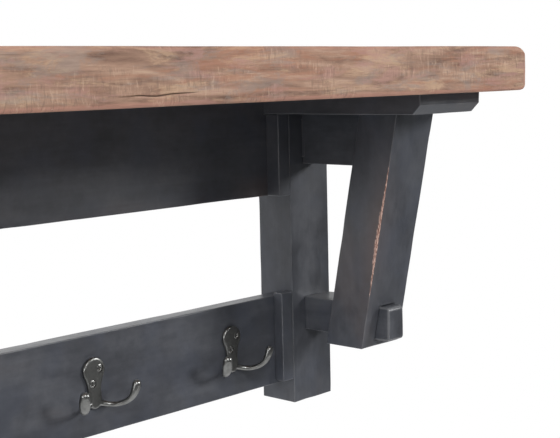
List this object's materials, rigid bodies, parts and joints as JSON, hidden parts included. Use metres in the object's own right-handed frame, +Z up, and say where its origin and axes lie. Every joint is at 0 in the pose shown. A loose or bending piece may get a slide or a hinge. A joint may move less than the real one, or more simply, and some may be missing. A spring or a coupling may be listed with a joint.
{
  "type": "wall coat shelf",
  "caption": "Wall-hung coat shelf: a thick distressed wood plank on two black timber bracket frames, with a board below it that carries cast double-prong coat hooks.",
  "frame": {"origin": "middle of the plank's back edge, half way up its thickness, where it touches the wall", "axes": "+X along the plank to the right as seen from the room, +Y into the wall, +Z up"},
  "size_m": [1.22, 0.286, 0.4095],
  "materials": {
    "plank_wood": "distressed, brown stain, matt wax",
    "black_paint": "satin black paint on timber, rubbed through at edges",
    "cast_metal": "dark burnished pewter",
    "screw_steel": "antique nickel, cross recess",
    "zinc_plate": "bright zinc plate"
  },
  "bodies": {
    "root": {"shelf_plank": "plank_wood", "apron_board": "black_paint", "hook_rail": "black_paint", "left_post": "black_paint", "left_arm": "black_paint", "left_strut": "black_paint", "left_upper_side_rail": "black_paint", "left_lower_side_rail": "black_paint", "left_upper_batten": "black_paint", "left_lower_batten": "black_paint", "left_hanger_plate": "zinc_plate", "right_post": "black_paint", "right_arm": "black_paint", "right_strut": "black_paint", "right_upper_side_rail": "black_paint", "right_lower_side_rail": "black_paint", "right_upper_batten": "black_paint", "right_lower_batten": "black_paint", "right_hanger_plate": "zinc_plate", "hook_1": "cast_metal", "hook_2": "cast_metal", "hook_3": "cast_metal", "hook_4": "cast_metal", "hook_5": "cast_metal", "left_arm_screw_1": "screw_steel", "left_arm_screw_2": "screw_steel", "left_arm_screw_3": "screw_steel", "left_plank_screw_1": "screw_steel", "left_plank_screw_2": "screw_steel", "left_apron_screw_1": "screw_steel", "left_apron_screw_2": "screw_steel", "left_rail_screw_1": "screw_steel", "left_rail_screw_2": "screw_steel", "left_hanger_screw_1": "screw_steel", "left_hanger_screw_2": "screw_steel", "right_arm_screw_1": "screw_steel", "right_arm_screw_2": "screw_steel", "right_arm_screw_3": "screw_steel", "right_plank_screw_1": "screw_steel", "right_plank_screw_2": "screw_steel", "right_apron_screw_1": "screw_steel", "right_apron_screw_2": "screw_steel", "right_rail_screw_1": "screw_steel", "right_rail_screw_2": "screw_steel", "right_hanger_screw_1": "screw_steel", "right_hanger_screw_2": "screw_steel", "hook_1_screw_1": "screw_steel", "hook_1_screw_2": "screw_steel", "hook_2_screw_1": "screw_steel", "hook_2_screw_2": "screw_steel", "hook_3_screw_1": "screw_steel", "hook_3_screw_2": "screw_steel", "hook_4_screw_1": "screw_steel", "hook_4_screw_2": "screw_steel", "hook_5_screw_1": "screw_steel", "hook_5_screw_2": "screw_steel"}
  },
  "joints": []
}
